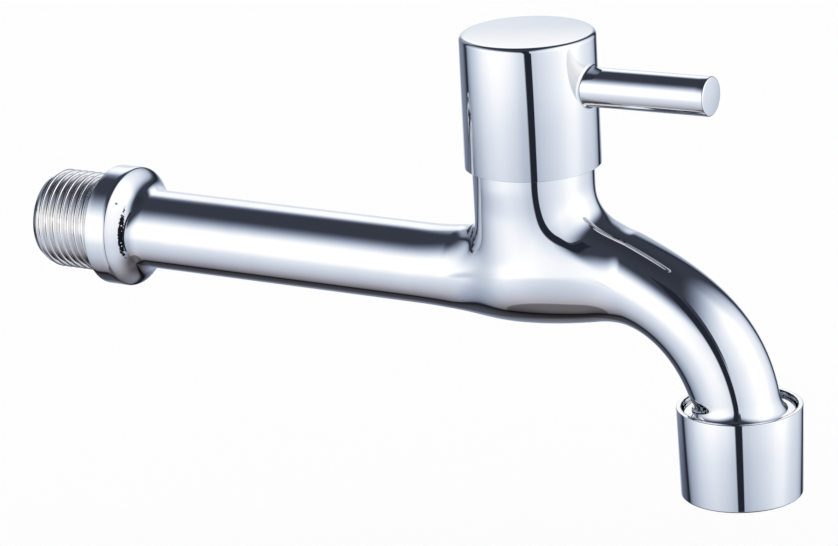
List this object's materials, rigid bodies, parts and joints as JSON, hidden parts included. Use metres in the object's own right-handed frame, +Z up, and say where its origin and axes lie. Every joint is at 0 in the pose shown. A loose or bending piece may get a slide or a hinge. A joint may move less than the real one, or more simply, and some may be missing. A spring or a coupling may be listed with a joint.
{
  "type": "bib tap",
  "caption": "Long-reach wall bib tap with a threaded inlet and flange, a quarter-turn lever cap over a ceramic disc headwork, and a swept spout with an aerator.",
  "frame": {"origin": "centre of the flange's back face, on the inlet axis", "axes": "+X along the inlet axis towards the outlet, +Y to the left seen from behind the flange, +Z up along the lever's axis"},
  "size_m": [0.1753, 0.0274, 0.0906],
  "materials": {
    "chrome": "polished chrome plate over cast and turned brass",
    "brass": "machined brass",
    "rubber": "moulded black rubber",
    "stainless": "stamped and woven stainless steel",
    "ceramic": "lapped alumina",
    "white_plastic": "moulded acetal"
  },
  "bodies": {
    "casting": {"body": "chrome", "headwork_housing": "brass", "headwork_o_ring": "rubber", "fixed_disc": "ceramic", "seat_seal": "rubber", "seal_backing_ring": "white_plastic"},
    "lever": {"handle": "chrome", "handle_screw": "stainless", "spindle": "brass", "spindle_o_ring_upper": "rubber", "spindle_o_ring_lower": "rubber", "thrust_washer": "white_plastic", "retaining_clip": "stainless", "stop_ring": "stainless", "moving_disc": "ceramic"},
    "aerator": {"aerator_washer": "rubber", "aerator_cage": "white_plastic", "aerator_inlet_screen": "stainless", "aerator_diffuser": "white_plastic", "aerator_fine_mesh": "stainless", "aerator_outlet_grid": "white_plastic"},
    "collar": {"outlet_collar": "chrome"}
  },
  "joints": [
    {"name": "lever_turn", "type": "hinge", "parent": "casting", "child": "lever", "pos_m": [0.1028, 0, 0], "axis": [0, 0, 1], "range_deg": [0, 90]},
    {"name": "aerator_drop", "type": "slide", "parent": "casting", "child": "aerator", "axis": [0, 0, -1], "range_m": [0, 0.008]},
    {"name": "collar_unscrew", "type": "hinge", "parent": "aerator", "child": "collar", "pos_m": [0.1471, 0, 0], "axis": [0, 0, -1], "range_deg": [0, 2880]}
  ],
  "couplings": [
    {"joint": "aerator_drop", "follows": "collar_unscrew", "m_per_rad": 0.00015915}
  ]
}
